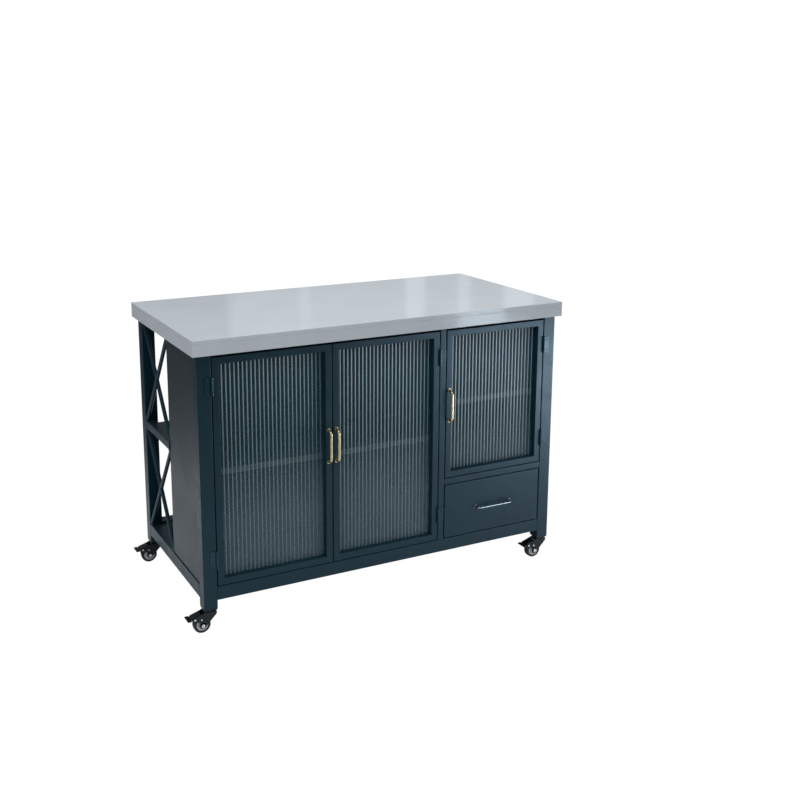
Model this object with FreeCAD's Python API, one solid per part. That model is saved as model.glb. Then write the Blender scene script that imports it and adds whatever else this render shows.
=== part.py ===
import FreeCAD, Part
import math
import os

# Kitchen island cart: a welded steel frame on four braked swivel casters, under a thick stone
# worktop.  The front half is a glazed cabinet with three doors and a drawer, the back half is two
# open shelves between crossed rods.  Millimetres, +X right along the front, +Y to the back, +Z up,
# origin on the floor under the middle of the worktop.

Vec = FreeCAD.Vector
os.makedirs("parts", exist_ok=True)

# Overall size
WIDTH, DEPTH, HEIGHT = 1200.0, 600.0, 850.0

# Worktop: stone sheet with a stone edging round a plywood core
TOP_THICK = 45.0
STONE = 12.0
CORE = 18.0
OVERHANG = 15.0

# Steel frame
POST = 40.0
WALL = 1.5
LEG_END = 70.0
RAIL_LOW, RAIL_HIGH = 95.0, 135.0
SIDE_RAIL = 25.0
TOP_RAIL = 20.0
FRONT_TOP_RAIL = 50.0
SHELF_RAIL_LOW, SHELF_RAIL_HIGH = 457.0, 482.0
DIVIDER_LEFT, DIVIDER_RIGHT = 170.0, 190.0
DRAWER_RAIL_LOW, DRAWER_RAIL_HIGH = 311.0, 331.0
ROD_R = 6.0

# Cabinet boards
BACK_FACE = 0.0
BOARD = 12.0
SHELF = 18.0
PANEL = 10.0
PANEL_RECESS = 3.0
LONG_SHELF_TOP, SMALL_SHELF_TOP = 463.0, 565.0
REAR_LOW_SHELF_TOP, REAR_MID_SHELF_TOP = 128.0, 469.0

# Doors and drawer
DOOR_TUBE = 20.0
DOOR_DEPTH = 20.0
DOOR_WALL = 1.2
HINGE_GAP = 2.5
EDGE_GAP = 3.0
SEAM = -186.0
DOOR_LOW, DOOR_HIGH = 137.0, 796.0
SMALL_DOOR_LOW = 333.0
DRAWER_HIGH = 309.0
GLASS = 5.0
GLASS_LAP = 8.0
FRONT_BOARD = 18.0

# Hinges
LEAF_HIGH, LEAF_WIDE, LEAF_THICK = 51.0, 20.0, 2.0
KNUCKLE_R, KNUCKLE_END = 3.5, 9.0
PIN_R, RUN = 1.5, 0.05
PIN_OFF = 4.0
HINGE_INSET = 80.0

# Handles
DOOR_PULL_FEET, DOOR_PULL_BAR, DOOR_PULL_R = 96.0, 83.0, 4.25
DRAWER_PULL_FEET, DRAWER_PULL_BAR, DRAWER_PULL_R = 128.0, 118.0, 3.5
PULL_REACH = 17.0
PULL_INSET = 11.0
PULL_Z, SMALL_PULL_Z = 496.5, 563.5

# Casters: U is the distance behind the swivel axis
WHEEL_R, WHEEL_WIDE = 25.0, 20.0
AXLE_U, AXLE_R = 23.6, 4.0
KINGPIN_R = 5.0
FORK_IN, FORK_OUT = 13.0, 15.5
CROWN_LOW, CROWN_HIGH = 60.0, 63.0
PIVOT_U, PIVOT_Z, PIVOT_R = 46.0, 46.0, 2.0

# Places worked out from the sizes above
FRAME_X = WIDTH / 2 - OVERHANG
FRAME_Y = DEPTH / 2 - OVERHANG
POST_X = FRAME_X - POST
POST_Y = FRAME_Y - POST
TOP_LOW = HEIGHT - TOP_THICK
CORE_LOW = HEIGHT - STONE - CORE
PANEL_OUT = FRAME_X - PANEL_RECESS
PANEL_IN = PANEL_OUT - PANEL
RAIL_TOP_LOW = CORE_LOW - TOP_RAIL
FACE = -FRAME_Y


def box(xs, ys, zs):
    """Block between two places on each axis, given in either order."""
    low = Vec(min(xs), min(ys), min(zs))
    high = Vec(max(xs), max(ys), max(zs))
    return Part.makeBox(high.x - low.x, high.y - low.y, high.z - low.z, low)


def sealed_tube(xs, ys, zs, wall=WALL):
    """Rectangular steel tube with its ends plated over."""
    inner = [(min(s) + wall, max(s) - wall) for s in (xs, ys, zs)]
    return box(xs, ys, zs).cut(box(*inner))


def rod(radius, start, end):
    """Round bar from one point to another."""
    along = end - start
    return Part.makeCylinder(radius, along.Length, start, along)


def plate(points, direction):
    """Flat plate: an outline of points, thickened along a vector."""
    return Part.Face(Part.makePolygon(points + [points[0]])).extrude(direction)


def mirrored(solids, axis):
    """The same pieces on the other side of the middle, across X or Y."""
    return [solid.mirror(Vec(0, 0, 0), axis) for solid in solids]


def save(node, *shapes):
    """One STEP file per node; several shapes stay separate solids in it."""
    solids = [solid for shape in shapes for solid in shape.Solids]
    whole = solids[0] if len(solids) == 1 else Part.makeCompound(solids)
    whole.exportStep("parts/" + node + ".step")


# Worktop -------------------------------------------------------------------------------------

def worktop():
    half_x, half_y = WIDTH / 2, DEPTH / 2
    sheet_low = HEIGHT - STONE
    save("worktop_sheet", box((-half_x, half_x), (-half_y, half_y), (sheet_low, HEIGHT)))

    drop = (TOP_LOW, sheet_low)
    front = box((-half_x, half_x), (-half_y, STONE - half_y), drop)
    left = box((-half_x, STONE - half_x), (STONE - half_y, half_y - STONE), drop)
    edging = [front, left] + mirrored([front], Vec(0, 1, 0)) + mirrored([left], Vec(1, 0, 0))
    save("worktop_edging", *edging)

    inside_x, inside_y = half_x - STONE, half_y - STONE
    save("worktop_core", box((-inside_x, inside_x), (-inside_y, inside_y), (CORE_LOW, sheet_low)))


# Frame ---------------------------------------------------------------------------------------

def corner_posts():
    posts = []
    for side_x in (-1, 1):
        for side_y in (-1, 1):
            xs = (side_x * POST_X, side_x * FRAME_X)
            ys = (side_y * POST_Y, side_y * FRAME_Y)
            posts.append(sealed_tube(xs, ys, (LEG_END, CORE_LOW)))
    save("corner_posts", *posts)


def rails():
    """Bottom, shelf and top rails between the posts."""
    across, deep = (-POST_X, POST_X), (-POST_Y, POST_Y)
    edge = (-FRAME_X, SIDE_RAIL - FRAME_X)

    left = sealed_tube(edge, deep, (RAIL_LOW, RAIL_HIGH))
    front = sealed_tube(across, (FACE, -POST_Y), (RAIL_LOW, RAIL_HIGH))
    ends = mirrored([left], Vec(1, 0, 0)) + mirrored([front], Vec(0, 1, 0))
    save("bottom_rails", left, front, *ends)

    left = sealed_tube(edge, deep, (RAIL_TOP_LOW, CORE_LOW))
    front = sealed_tube(across, (FACE, FACE + FRONT_TOP_RAIL), (RAIL_TOP_LOW, CORE_LOW))
    back = sealed_tube(across, (POST_Y, FRAME_Y), (RAIL_TOP_LOW, CORE_LOW))
    save("top_rails", left, front, back, *mirrored([left], Vec(1, 0, 0)))

    left = sealed_tube(edge, (BACK_FACE, POST_Y), (SHELF_RAIL_LOW, SHELF_RAIL_HIGH))
    save("shelf_rails", left, *mirrored([left], Vec(1, 0, 0)))

    depth = (FACE, -POST_Y)
    upright = sealed_tube((DIVIDER_LEFT, DIVIDER_RIGHT), depth, (RAIL_HIGH, RAIL_TOP_LOW))
    level = sealed_tube((DIVIDER_RIGHT, POST_X), depth, (DRAWER_RAIL_LOW, DRAWER_RAIL_HIGH))
    save("front_divider_tubes", upright, level)


def crossed_rods(low, high):
    """One long rod from the front top to the back bottom, and two half rods welded against it."""
    x = -FRAME_X + ROD_R + 1.0
    bay = box((-FRAME_X, -POST_X), (BACK_FACE, POST_Y), (low, high))
    front, back = Vec(x, BACK_FACE, 0), Vec(x, POST_Y, 0)
    lean = (back - front) * 0.1
    rise = Vec(0, 0, (high - low) * 0.1)
    top, bottom = Vec(0, 0, high), Vec(0, 0, low)
    falling = rod(ROD_R, front + top - lean + rise, back + bottom + lean - rise).common(bay)
    rising = rod(ROD_R, front + bottom - lean - rise, back + top + lean + rise).common(bay)
    return [falling, rising.cut(falling)]


def side_braces():
    left = (crossed_rods(SHELF_RAIL_HIGH, RAIL_TOP_LOW)
            + crossed_rods(RAIL_HIGH, SHELF_RAIL_LOW))
    save("left_brace_rods", *left)
    save("right_brace_rods", *mirrored(left, Vec(1, 0, 0)))


# Cabinet -------------------------------------------------------------------------------------

def side_panels():
    """Flat panel set back from the posts, with a narrow groove beside the front post."""
    groove = 2.0
    skin = box((-PANEL_OUT, 5.0 - PANEL_OUT), (groove - POST_Y, BACK_FACE),
               (RAIL_HIGH, RAIL_TOP_LOW))
    body = box((5.0 - PANEL_OUT, -PANEL_IN), (-POST_Y, BACK_FACE), (RAIL_HIGH, RAIL_TOP_LOW))
    panel = skin.fuse(body).removeSplitter()
    save("side_panels", panel, *mirrored([panel], Vec(1, 0, 0)))


def cabinet_boards():
    inside = (-PANEL_IN, PANEL_IN)
    tall = (RAIL_HIGH, RAIL_TOP_LOW)
    front, back = -POST_Y, BACK_FACE - BOARD
    floor_x = FRAME_X - SIDE_RAIL
    save("cabinet_back", box(inside, (back, BACK_FACE), tall))
    save("cabinet_floor",
         box((-floor_x, floor_x), (front, BACK_FACE), (RAIL_HIGH - SHELF, RAIL_HIGH)))
    wall_x = (DIVIDER_LEFT + 1.0, DIVIDER_RIGHT - 1.0)
    save("bay_divider", box(wall_x, (front, back), tall))
    save("drawer_deck",
         box((wall_x[1], PANEL_IN), (front, back), (DRAWER_RAIL_LOW + 2.0, DRAWER_RAIL_HIGH - 2.0)))

    shelf_y = (front + 5.0, back)
    long_shelf = box((-PANEL_IN + 1.0, wall_x[0] - 1.0), shelf_y,
                     (LONG_SHELF_TOP - SHELF, LONG_SHELF_TOP))
    small_shelf = box((wall_x[1] + 1.0, PANEL_IN - 1.0), shelf_y,
                      (SMALL_SHELF_TOP - SHELF, SMALL_SHELF_TOP))
    save("cabinet_shelves", long_shelf, small_shelf)

    pins = []
    for level, ends in ((LONG_SHELF_TOP, (-PANEL_IN, wall_x[0])),
                        (SMALL_SHELF_TOP, (wall_x[1], PANEL_IN))):
        for x, inward in ((ends[0], 1), (ends[1], -1)):
            for y in (front + 40.0, back - 40.0):
                seat = Vec(x, y, level - SHELF - 2.5)
                pins.append(rod(2.5, seat, seat + Vec(inward * 10.0, 0, 0)))
    save("shelf_pins", *pins)

    rear_y = (BACK_FACE, POST_Y)
    levels = (REAR_LOW_SHELF_TOP, REAR_MID_SHELF_TOP)
    save("rear_shelves", *[box((-floor_x, floor_x), rear_y, (top - SHELF, top)) for top in levels])


# Doors ---------------------------------------------------------------------------------------

def door_frame(xs, zs):
    """Four tubes, mitred and welded at the corners."""
    x0, x1 = xs
    z0, z1 = zs
    t = DOOR_TUBE
    inner = ((x0 + t, x1 - t), (z0 + t, z1 - t))
    corners = [(x0, z0), (x1, z0), (x1, z1), (x0, z1)]
    insides = [(inner[0][i], inner[1][j]) for i, j in ((0, 0), (1, 0), (1, 1), (0, 1))]
    members = []
    for i in range(4):
        j = (i + 1) % 4
        outline = [Vec(x, FACE, z) for x, z in (corners[i], corners[j], insides[j], insides[i])]
        face = Part.Face(Part.makePolygon(outline + [outline[0]]))
        hollow = face.makeOffset2D(-DOOR_WALL)
        hollow.translate(Vec(0, DOOR_WALL, 0))
        hollow = hollow.extrude(Vec(0, DOOR_DEPTH - 2 * DOOR_WALL, 0))
        members.append(face.extrude(Vec(0, DOOR_DEPTH, 0)).cut(hollow))
    return members


def glass_beads(xs, zs):
    """Angle strips behind the frame that hold the glass, butted at the corners."""
    back = FACE + DOOR_DEPTH
    lip, leg, clear = 9.0, 2.0, 1.0
    x0, x1 = xs[0] - clear - leg, xs[1] + clear + leg
    z0, z1 = zs[0] - clear - leg, zs[1] + clear + leg
    leg_y, lip_y = (back, back + GLASS), (back + GLASS, back + GLASS + 1.5)
    strips = []
    for x, inward in ((x0, 1), (x1, -1)):
        strips.append(box((x, x + inward * leg), leg_y, (z0, z1)).fuse(
            box((x, x + inward * lip), lip_y, (z0, z1))))
    for z, inward in ((z0, 1), (z1, -1)):
        strips.append(box((x0 + leg, x1 - leg), leg_y, (z, z + inward * leg)).fuse(
            box((x0 + lip, x1 - lip), lip_y, (z, z + inward * lip))))
    return strips


def round_corners(points, radius):
    """Wire through points, with each inner corner rounded by a tangent arc."""
    edges = []
    start = points[0]
    for before, corner, after in zip(points, points[1:], points[2:]):
        to_start = (before - corner).normalize()
        to_end = (after - corner).normalize()
        half = to_start.getAngle(to_end) / 2
        run = radius / math.tan(half)
        first, last = corner + to_start * run, corner + to_end * run
        middle = corner + (to_start + to_end).normalize() * (radius / math.sin(half) - radius)
        edges.append(Part.LineSegment(start, first).toShape())
        edges.append(Part.Arc(first, middle, last).toShape())
        start = last
    edges.append(Part.LineSegment(start, points[-1]).toShape())
    return Part.Wire(edges)


def bow_pull(center, along, feet, bar, radius):
    """Bar handle whose two arms splay back to round feet on the door."""
    out = Vec(0, -1, 0)
    sink = 3.0
    foot_a, foot_b = center - along * (feet / 2), center + along * (feet / 2)
    bar_a = center - along * (bar / 2) + out * PULL_REACH
    bar_b = center + along * (bar / 2) + out * PULL_REACH
    inner_a = foot_a + (foot_a - bar_a) * (sink / PULL_REACH)
    inner_b = foot_b + (foot_b - bar_b) * (sink / PULL_REACH)
    path = round_corners([inner_a, bar_a, bar_b, inner_b], 8.0)
    section = Part.Wire(Part.makeCircle(radius, inner_a, bar_a - inner_a))
    bow = path.makePipeShell([section], True, False)
    reach = feet + 60.0
    behind = box((center.x - reach, center.x + reach), (FACE, FACE + 20.0),
                 (center.z - reach, center.z + reach))
    bow = bow.cut(behind)
    for foot in (foot_a, foot_b):
        bow = bow.fuse(rod(radius + 1.5, foot, foot + out * 1.5))
    return bow


def hinge_places(zs):
    """Lowest point of each of a door's two hinges."""
    return [zs[0] + HINGE_INSET - LEAF_HIGH / 2, zs[1] - HINGE_INSET - LEAF_HIGH / 2]


def frame_leaf(x, side, z):
    """Leaf on the post's face with the two short knuckles; side points from hinge to door."""
    pin_y = FACE - PIN_OFF
    barrels = [(z, z + KNUCKLE_END), (z + LEAF_HIGH - KNUCKLE_END, z + LEAF_HIGH)]
    leaf = box((x - side * LEAF_WIDE, x - side * (KNUCKLE_R + 0.6)), (FACE - LEAF_THICK, FACE),
               (z, z + LEAF_HIGH))
    for low, high in barrels:
        arm = box((x - side * (KNUCKLE_R + 1.0), x), (FACE - LEAF_THICK, FACE - 0.5), (low, high))
        barrel = rod(KNUCKLE_R, Vec(x, pin_y, low), Vec(x, pin_y, high))
        leaf = leaf.fuse(arm).fuse(barrel)
    leaf = leaf.cut(rod(PIN_R, Vec(x, pin_y, z), Vec(x, pin_y, z + LEAF_HIGH)))
    for screw in leaf_screw_places(x, side, z):
        leaf = leaf.cut(rod(1.6, screw, screw + Vec(0, -LEAF_THICK, 0)))
    return leaf


def leaf_screw_places(x, side, z):
    column = x - side * (LEAF_WIDE - 7.0)
    return [Vec(column, FACE, z + 9.0), Vec(column, FACE, z + LEAF_HIGH - 9.0)]


def door_leaf(x, side, z):
    """Leaf in the gap on the door's edge, with the long middle knuckle."""
    pin_y = FACE - PIN_OFF
    low, high = z + KNUCKLE_END + 0.3, z + LEAF_HIGH - KNUCKLE_END - 0.3
    gap_side = (x, x + side * 1.5)
    leaf = box(gap_side, (FACE + 1.0, FACE + 19.0), (z, z + LEAF_HIGH))
    leaf = leaf.fuse(box(gap_side, (pin_y, FACE + 1.0), (low, high)))
    leaf = leaf.fuse(rod(KNUCKLE_R, Vec(x, pin_y, low), Vec(x, pin_y, high)))
    return leaf.cut(rod(PIN_R + RUN, Vec(x, pin_y, low), Vec(x, pin_y, high)))


def hinge_pin(x, z):
    pin_y = FACE - PIN_OFF
    shank = rod(PIN_R, Vec(x, pin_y, z), Vec(x, pin_y, z + LEAF_HIGH))
    cap = rod(KNUCKLE_R - 0.8, Vec(x, pin_y, z + LEAF_HIGH), Vec(x, pin_y, z + LEAF_HIGH + 1.2))
    return shank.fuse(cap)


def leaf_screw(place):
    out = Vec(0, -1, 0)
    head = place + out * LEAF_THICK
    return rod(1.6, place, head).fuse(rod(2.8, head, head + out))


def door(name, xs, zs, side, pull_z):
    """A framed glass door; side is +1 when it hangs from its left edge, -1 from its right."""
    hinge_edge, free_edge = (xs[0], xs[1]) if side > 0 else (xs[1], xs[0])
    pin_x = hinge_edge - side * 1.5
    t = DOOR_TUBE
    pane_x = (xs[0] + t - GLASS_LAP, xs[1] - t + GLASS_LAP)
    pane_z = (zs[0] + t - GLASS_LAP, zs[1] - t + GLASS_LAP)
    back = FACE + DOOR_DEPTH
    save(name + "_frame", *door_frame(xs, zs))
    save(name + "_glass", box(pane_x, (back, back + GLASS), pane_z))
    save(name + "_glass_beads", *glass_beads(pane_x, pane_z))
    pull_at = Vec(free_edge - side * PULL_INSET, FACE, pull_z)
    save(name + "_handle",
         bow_pull(pull_at, Vec(0, 0, 1), DOOR_PULL_FEET, DOOR_PULL_BAR, DOOR_PULL_R))
    save(name + "_hinge_leaves", *[door_leaf(pin_x, side, z) for z in hinge_places(zs)])
    leaves = [frame_leaf(pin_x, side, z) for z in hinge_places(zs)]
    pins = [hinge_pin(pin_x, z) for z in hinge_places(zs)]
    screws = [leaf_screw(s) for z in hinge_places(zs) for s in leaf_screw_places(pin_x, side, z)]
    return leaves, pins, screws


def doors():
    left_x = (-POST_X + HINGE_GAP, SEAM - EDGE_GAP / 2)
    middle_x = (SEAM + EDGE_GAP / 2, DIVIDER_LEFT - HINGE_GAP)
    right_x = (DIVIDER_RIGHT + EDGE_GAP, POST_X - HINGE_GAP)
    tall, small = (DOOR_LOW, DOOR_HIGH), (SMALL_DOOR_LOW, DOOR_HIGH)
    hung = [door("left_door", left_x, tall, 1, PULL_Z),
            door("middle_door", middle_x, tall, -1, PULL_Z),
            door("right_door", right_x, small, -1, SMALL_PULL_Z)]
    save("frame_hinge_leaves", *[leaf for leaves, _, _ in hung for leaf in leaves])
    save("hinge_pins", *[pin for _, pins, _ in hung for pin in pins])
    save("hinge_screws", *[screw for _, _, screws in hung for screw in screws])

    catches = []
    for x in (left_x[1] - 30.0, middle_x[0] + 30.0, right_x[0] + 30.0):
        catches.append(box((x - 15.0, x + 15.0), (FACE + 28.0, FACE + FRONT_TOP_RAIL),
                           (RAIL_TOP_LOW - 14.0, RAIL_TOP_LOW)))
    save("door_catches", *catches)


# Drawer --------------------------------------------------------------------------------------

def drawer():
    """Board drawer on side runners, with the front panel screwed to its sides."""
    front_x = (DIVIDER_RIGHT + EDGE_GAP, POST_X - EDGE_GAP)
    front_back = FACE + FRONT_BOARD
    save("drawer_front", box(front_x, (FACE, front_back), (DOOR_LOW, DRAWER_HIGH)))
    middle = Vec((front_x[0] + front_x[1]) / 2, FACE, (DOOR_LOW + DRAWER_HIGH) / 2 - 2.0)
    save("drawer_handle",
         bow_pull(middle, Vec(1, 0, 0), DRAWER_PULL_FEET, DRAWER_PULL_BAR, DRAWER_PULL_R))

    left, right = DIVIDER_RIGHT + 15.0, POST_X - 15.0
    rear = front_back + 230.0
    high = (150.0, 285.0)
    side_a = box((left, left + BOARD), (front_back, rear), high)
    side_b = box((right - BOARD, right), (front_back, rear), high)
    back = box((left + BOARD, right - BOARD), (rear - BOARD, rear), high)
    base = box((left + BOARD, right - BOARD), (front_back, rear - BOARD), (158.0, 164.0))
    save("drawer_box", side_a, side_b, back, base)

    runner_low, runner_high = 200.0, 235.0
    fixed, moving = [], []
    for wall, inward in ((DIVIDER_RIGHT - 1.0, 1), (POST_X + 1.0, -1)):
        ys = (-POST_Y + 1.0, -20.0)
        web = box((wall, wall + inward * 1.5), ys, (runner_low, runner_high))
        lower = box((wall, wall + inward * 12.0), ys, (runner_low, runner_low + 1.5))
        upper = box((wall, wall + inward * 12.0), ys, (runner_high - 1.5, runner_high))
        fixed.append(web.fuse(lower).fuse(upper))
        ys = (front_back, rear)
        box_side = wall + inward * 16.0
        web = box((box_side, box_side - inward * 1.5), ys, (runner_low + 5.0, runner_high - 5.0))
        tongue = box((box_side - inward * 1.5, box_side - inward * 13.0), ys,
                     (runner_low + 8.0, runner_high - 8.0))
        moving.append(web.fuse(tongue))
    batten = box((POST_X + 1.0, PANEL_IN), (-POST_Y, BACK_FACE - BOARD), (195.0, 250.0))
    save("runner_batten", batten)
    save("fixed_runners", *fixed)
    save("drawer_runners", *moving)


# Casters -------------------------------------------------------------------------------------

def caster_mounts():
    """Plate, bearing cup and headed kingpin under each leg."""
    mounts = []
    middle_x, middle_y = FRAME_X - POST / 2, FRAME_Y - POST / 2
    half = POST / 2 - 1.0
    for x in (-middle_x, middle_x):
        for y in (-middle_y, middle_y):
            foot = Vec(x, y, 0)
            top = box((x - half, x + half), (y - half, y + half), (LEG_END - 3.0, LEG_END))
            cup = rod(15.0, foot + Vec(0, 0, CROWN_HIGH + 0.3), foot + Vec(0, 0, LEG_END - 3.0))
            pin = rod(KINGPIN_R, foot + Vec(0, 0, 56.0), foot + Vec(0, 0, CROWN_HIGH + 0.3))
            head = rod(7.5, foot + Vec(0, 0, 56.0), foot + Vec(0, 0, CROWN_LOW - 0.3))
            mounts.append(top.fuse(cup).fuse(pin).fuse(head))
    save("caster_mounts", *mounts)


def across(radius, u, z, half):
    """Round bar along Y, centred on the caster."""
    return rod(radius, Vec(-u, -half, z), Vec(-u, half, z))


def caster_fork():
    """Pressed steel fork, with its axle bolt and the brake's pivot pin."""
    outline = [(-18, 63), (-18, 54), (17.2, 18.6), (28.8, 17.6), (32.5, 26), (31, 36),
               (42, 38), (48, 30), (55, 37), (54, 50), (22, 60), (18, 63)]
    crown = box((-18, 18), (-FORK_OUT, FORK_OUT), (CROWN_LOW, CROWN_HIGH))
    fork = crown.cut(rod(KINGPIN_R + RUN, Vec(0, 0, CROWN_LOW), Vec(0, 0, CROWN_HIGH)))
    for inner, outer in ((FORK_IN, FORK_OUT), (-FORK_OUT, -FORK_IN)):
        cheek = plate([Vec(-u, inner, z) for u, z in outline], Vec(0, outer - inner, 0))
        boss = rod(9.0, Vec(-AXLE_U, inner, WHEEL_R), Vec(-AXLE_U, outer, WHEEL_R))
        fork = fork.fuse(cheek).fuse(boss)
    fork = fork.cut(across(AXLE_R, AXLE_U, WHEEL_R, FORK_OUT))
    fork = fork.cut(across(PIVOT_R, PIVOT_U, PIVOT_Z, FORK_OUT))
    bolt = across(AXLE_R, AXLE_U, WHEEL_R, FORK_OUT)
    pin = across(PIVOT_R, PIVOT_U, PIVOT_Z, FORK_OUT)
    for side in (-1, 1):
        head_at = Vec(-AXLE_U, side * FORK_OUT, WHEEL_R)
        pin_at = Vec(-PIVOT_U, side * FORK_OUT, PIVOT_Z)
        bolt = bolt.fuse(rod(6.0, head_at, head_at + Vec(0, side * 3.0, 0)))
        pin = pin.fuse(rod(3.2, pin_at, pin_at + Vec(0, side * 1.2, 0)))
    return [fork, bolt, pin]


def caster_tyre():
    tyre = across(WHEEL_R, AXLE_U, WHEEL_R, WHEEL_WIDE / 2)
    rims = [edge for edge in tyre.Edges if isinstance(edge.Curve, Part.Circle)]
    tyre = tyre.makeFillet(2.5, rims)
    return tyre.cut(across(17.0, AXLE_U, WHEEL_R, WHEEL_WIDE / 2))


def caster_hub():
    """Hub with a raised rim and boss, running on the axle bolt."""
    hub = across(17.0, AXLE_U, WHEEL_R, 9.0)
    for side in (-1, 1):
        outer, inner = Vec(-AXLE_U, side * 9.0, WHEEL_R), Vec(-AXLE_U, side * 5.0, WHEEL_R)
        hub = hub.cut(rod(13.0, inner, outer))
    hub = hub.fuse(across(7.0, AXLE_U, WHEEL_R, 12.0))
    return hub.cut(across(AXLE_R + RUN, AXLE_U, WHEEL_R, 12.0))


def caster_pedal():
    """Brake lever: a foot pad, an arm between the fork's cheeks, a barrel and a shoe."""
    inside = FORK_IN - 0.5
    arm_line = [(27, 56), (28, 59), (48, 53.5), (57, 48.5), (57, 44.5), (46, 49)]
    arm = plate([Vec(-u, -inside + 0.5, z) for u, z in arm_line], Vec(0, 2 * inside - 1.0, 0))
    pad = box((-56, -68), (-18, 18), (44.5, 48.5))
    shoe = box((-45, -49), (-8, 8), (39.8, 44))
    barrel = across(4.5, PIVOT_U, PIVOT_Z, inside)
    lever = arm.fuse(pad).fuse(barrel).fuse(shoe)
    return lever.cut(across(PIVOT_R + RUN, PIVOT_U, PIVOT_Z, inside))


def casters():
    middle_x, middle_y = FRAME_X - POST / 2, FRAME_Y - POST / 2
    places = {"front_left": (-middle_x, -middle_y), "front_right": (middle_x, -middle_y),
              "rear_left": (-middle_x, middle_y), "rear_right": (middle_x, middle_y)}
    pieces = {"fork": caster_fork(), "tyre": [caster_tyre()], "hub": [caster_hub()],
              "pedal": [caster_pedal()]}
    for corner, (x, y) in places.items():
        for piece, solids in pieces.items():
            moved = [solid.translated(Vec(x, y, 0)) for solid in solids]
            save("caster_" + corner + "_" + piece, *moved)
    caster_mounts()


worktop()
corner_posts()
rails()
side_braces()
side_panels()
cabinet_boards()
doors()
drawer()
casters()
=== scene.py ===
import bmesh
import bpy
from math import asin, atan2, cos, pi, radians, sin, tan
from mathutils import Matrix, Vector


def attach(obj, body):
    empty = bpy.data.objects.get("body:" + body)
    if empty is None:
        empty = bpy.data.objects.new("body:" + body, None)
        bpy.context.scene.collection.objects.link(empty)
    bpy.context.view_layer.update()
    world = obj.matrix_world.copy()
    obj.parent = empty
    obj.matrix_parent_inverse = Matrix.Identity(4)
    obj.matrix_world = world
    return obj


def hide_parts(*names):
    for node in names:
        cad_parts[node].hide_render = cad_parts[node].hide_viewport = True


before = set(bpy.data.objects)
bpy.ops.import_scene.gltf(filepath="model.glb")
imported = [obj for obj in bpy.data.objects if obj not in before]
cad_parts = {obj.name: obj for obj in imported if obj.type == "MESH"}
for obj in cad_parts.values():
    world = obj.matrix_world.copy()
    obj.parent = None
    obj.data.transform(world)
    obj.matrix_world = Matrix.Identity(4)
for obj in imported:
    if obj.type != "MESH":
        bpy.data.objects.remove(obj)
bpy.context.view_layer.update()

scene = bpy.context.scene
scene.view_settings.view_transform = "Standard"


# CAMERA ---------------------------------------------------------------------------------------
# A standing eye looks slightly down at the cart from off its front left corner.

aim = Vector((0.0589, 0.0, 0.7784))
turn, tilt = radians(-26.88), radians(12.17)
back = Vector((sin(turn) * cos(tilt), -cos(turn) * cos(tilt), sin(tilt)))
camera = bpy.data.objects.new("camera", bpy.data.cameras.new("camera"))
camera.data.lens = 48.98
camera.data.shift_x, camera.data.shift_y = 0.0452, -0.0966
eye_distance = 3.427
camera.location = aim + back * eye_distance
camera.rotation_euler = back.to_track_quat("Z", "Y").to_euler()
scene.collection.objects.link(camera)
scene.camera = camera


# STUDIO ---------------------------------------------------------------------------------------
# A plain white floor and sky.  Glossy surfaces mirror them dimmer than the eye sees them, as in
# a room with dark walls.  Soft lamps hang overhead and stand at the sides, and cool daylight
# comes from windows behind and to the right.

def room_level(tree, seen, shading, mirrored):
    """A brightness for the eye, one for soft shading and one for mirror reflections."""
    rays = tree.nodes.new("ShaderNodeLightPath")
    bounced = tree.nodes.new("ShaderNodeMath")
    bounced.operation = "MULTIPLY"
    tree.links.new(rays.outputs["Is Glossy Ray"], bounced.inputs[0])
    tree.links.new(rays.outputs["Is Reflection Ray"], bounced.inputs[1])
    unseen = tree.nodes.new("ShaderNodeMapRange")
    unseen.inputs["To Min"].default_value = shading
    if isinstance(mirrored, float):
        unseen.inputs["To Max"].default_value = mirrored
    else:
        tree.links.new(mirrored, unseen.inputs["To Max"])
    tree.links.new(bounced.outputs[0], unseen.inputs["Value"])
    level = tree.nodes.new("ShaderNodeMapRange")
    level.inputs["To Max"].default_value = seen
    tree.links.new(rays.outputs["Is Camera Ray"], level.inputs["Value"])
    tree.links.new(unseen.outputs["Result"], level.inputs["To Min"])
    return level.outputs["Result"]


world = bpy.data.worlds.new("studio")
scene.world = world
world.use_nodes = True
sky = world.node_tree.nodes["Background"]
sky.inputs["Color"].default_value = (0.88, 0.95, 1.0, 1.0)
world.node_tree.links.new(room_level(world.node_tree, 1.16, 0.66, 0.23), sky.inputs["Strength"])

floor_radius = 60.0
floor_mesh = bpy.data.meshes.new("floor")
bm = bmesh.new()
bmesh.ops.create_circle(bm, cap_ends=True, segments=96, radius=floor_radius)
bm.to_mesh(floor_mesh)
bm.free()
floor = bpy.data.objects.new("floor", floor_mesh)
floor_paint = bpy.data.materials.new("floor_paint")
floor_paint.use_nodes = True
floor_tree = floor_paint.node_tree
floor_shader = floor_tree.nodes["Principled BSDF"]
floor_shader.inputs["Roughness"].default_value = 0.85
floor_shader.inputs["Specular IOR Level"].default_value = 0.1
floor_shader.inputs["Emission Color"].default_value = (1.0, 1.0, 1.0, 1.0)
# In mirror reflections the floor is painted bright within 1.2 m of the cart's middle, dimming out
# by 2.2 m: a painted pool of light. The eye and soft shading see it evenly.
floor_place = floor_tree.nodes.new("ShaderNodeTexCoord")
floor_reach = floor_tree.nodes.new("ShaderNodeVectorMath")
floor_reach.operation = "LENGTH"
floor_tree.links.new(floor_place.outputs["Object"], floor_reach.inputs[0])
pool_of_light = floor_tree.nodes.new("ShaderNodeMapRange")
for socket, value in (("From Min", 1.2), ("From Max", 2.2), ("To Min", 0.95), ("To Max", 0.16)):
    pool_of_light.inputs[socket].default_value = value
floor_tree.links.new(floor_reach.outputs["Value"], pool_of_light.inputs["Value"])
floor_tree.links.new(room_level(floor_tree, 0.0, 0.60, pool_of_light.outputs["Result"]),
                     floor_shader.inputs["Base Color"])
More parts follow.
